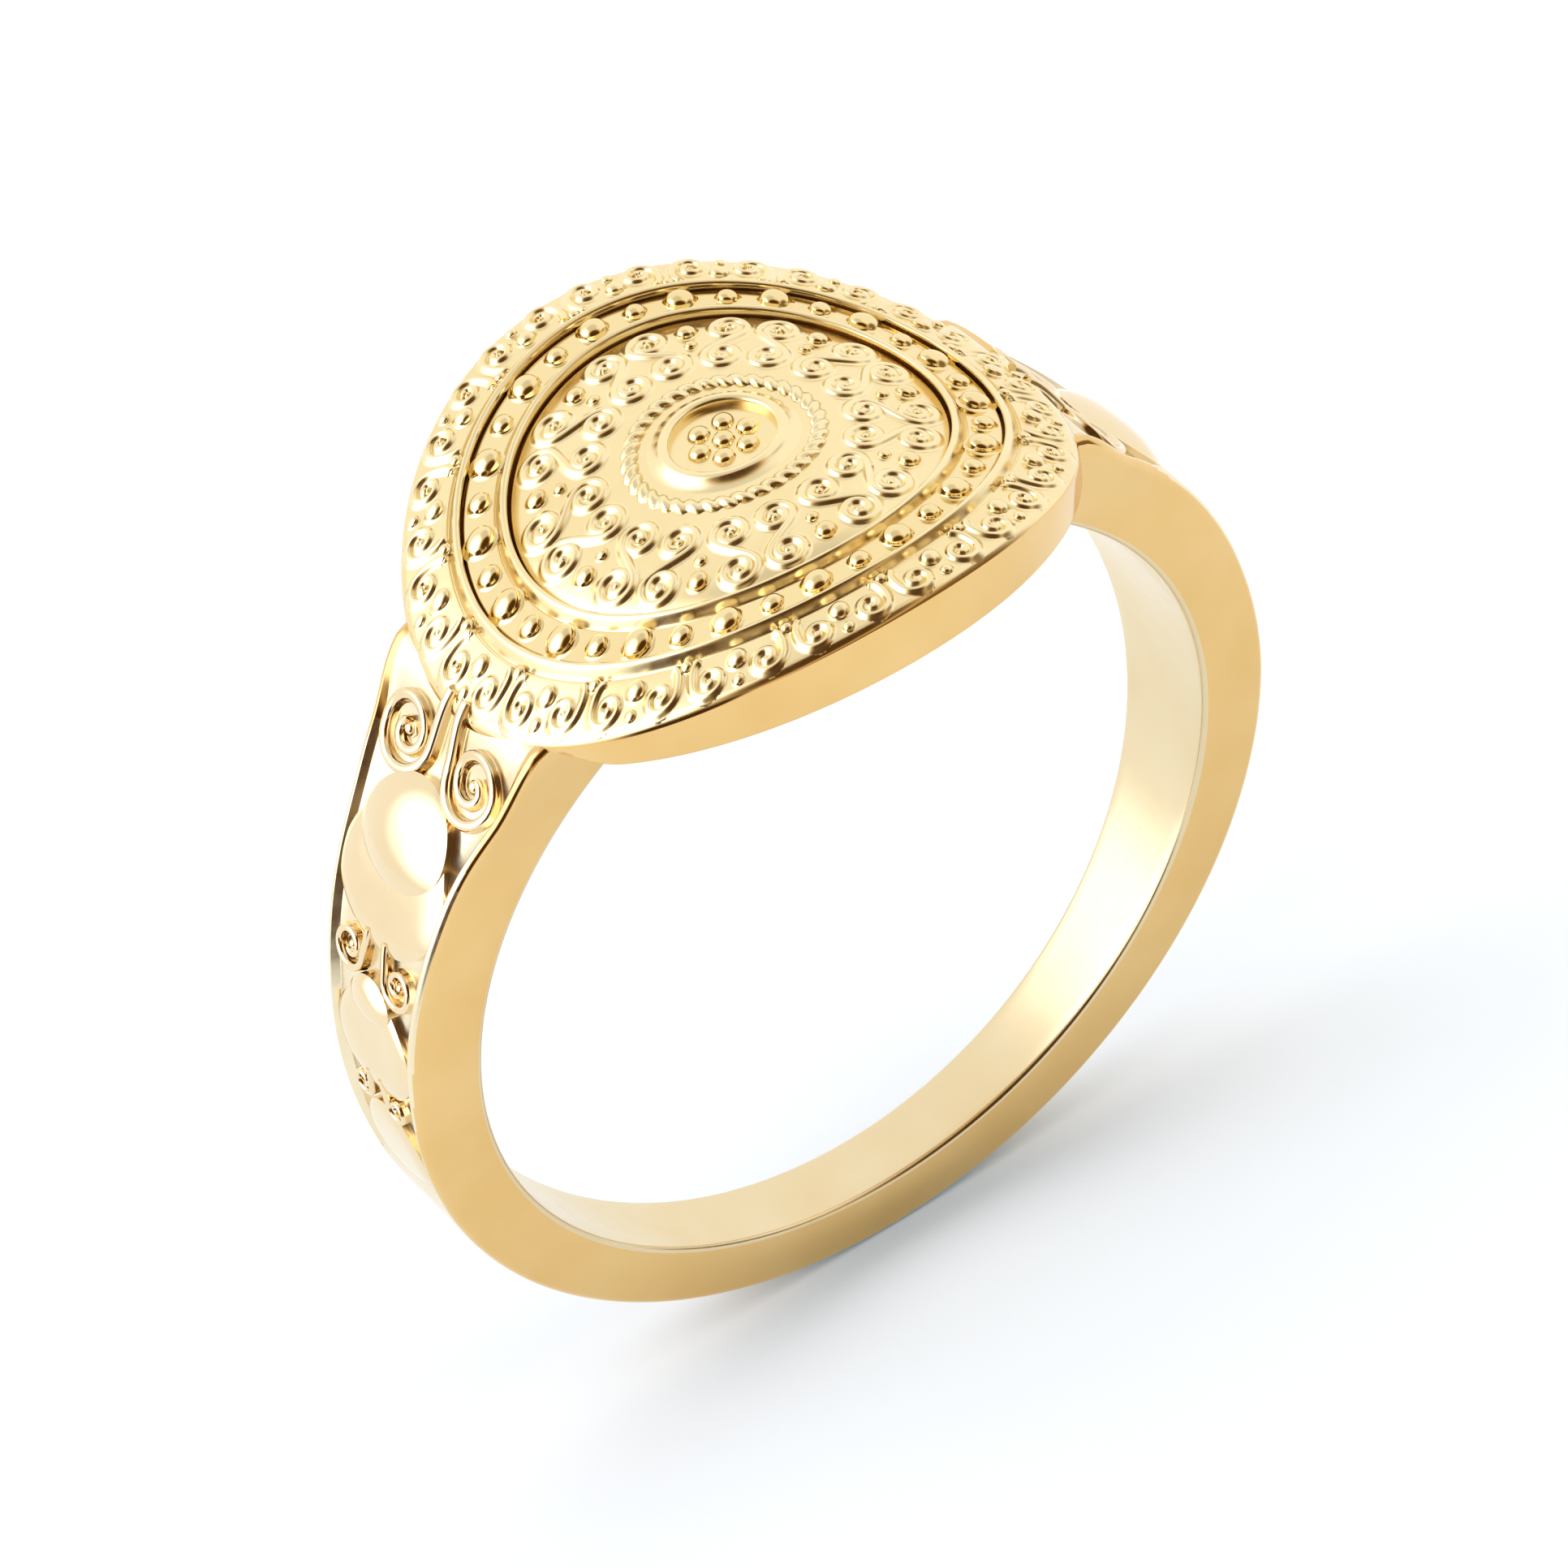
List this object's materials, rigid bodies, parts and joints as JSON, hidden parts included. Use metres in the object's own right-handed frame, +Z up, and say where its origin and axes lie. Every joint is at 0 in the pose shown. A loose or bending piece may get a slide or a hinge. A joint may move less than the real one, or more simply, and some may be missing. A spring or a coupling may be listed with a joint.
{
  "type": "signet ring",
  "caption": "Finger ring of polished yellow gold: a band tapering to the palm, scrolled and petalled shoulders, and a crowned oval medallion of wire scrolls, beads and rope.",
  "frame": {"origin": "centre of the finger bore, midway along the finger", "axes": "+X across the shoulders, +Y along the finger away from the picture's near side, +Z up through the medallion"},
  "size_m": [0.0204, 0.0122, 0.021],
  "materials": {
    "band": "polished yellow gold",
    "head": "polished yellow gold",
    "wire": "drawn yellow gold wire, polished",
    "granule": "fused yellow gold granules, polished",
    "petal": "burnished yellow gold"
  },
  "bodies": {
    "root": {"shank": "band", "medallion_base": "head", "border_ring": "wire", "outer_rim_wire": "wire", "inner_rim_wire": "wire", "bead_strip": "granule", "field_scroll_a1": "wire", "field_scroll_a2": "wire", "field_scroll_a3": "wire", "field_scroll_a4": "wire", "field_scroll_a5": "wire", "field_scroll_a6": "wire", "field_scroll_a7": "wire", "field_scroll_a8": "wire", "field_scroll_a9": "wire", "field_scroll_b1": "wire", "field_scroll_b2": "wire", "field_scroll_b3": "wire", "field_scroll_b4": "wire", "field_scroll_b5": "wire", "field_scroll_b6": "wire", "field_scroll_b7": "wire", "field_scroll_b8": "wire", "field_scroll_b9": "wire", "field_granules_1": "granule", "field_granules_2": "granule", "field_granules_3": "granule", "field_granules_4": "granule", "field_granules_5": "granule", "field_granules_6": "granule", "field_granules_7": "granule", "field_granules_8": "granule", "field_granules_9": "granule", "rope_ring": "wire", "centre_cup": "head", "centre_rosette": "granule", "left_volute_near_1": "wire", "left_volute_near_2": "wire", "left_volute_near_3": "wire", "left_volute_far_1": "wire", "left_volute_far_2": "wire", "left_volute_far_3": "wire", "left_inner_petal_1": "petal", "left_inner_petal_2": "petal", "left_outer_petal_1": "petal", "left_outer_petal_2": "petal", "left_outer_petal_3": "petal", "right_volute_near_1": "wire", "right_volute_near_2": "wire", "right_volute_near_3": "wire", "right_volute_far_1": "wire", "right_volute_far_2": "wire", "right_volute_far_3": "wire", "right_inner_petal_1": "petal", "right_inner_petal_2": "petal", "right_outer_petal_1": "petal", "right_outer_petal_2": "petal", "right_outer_petal_3": "petal"}
  },
  "joints": []
}
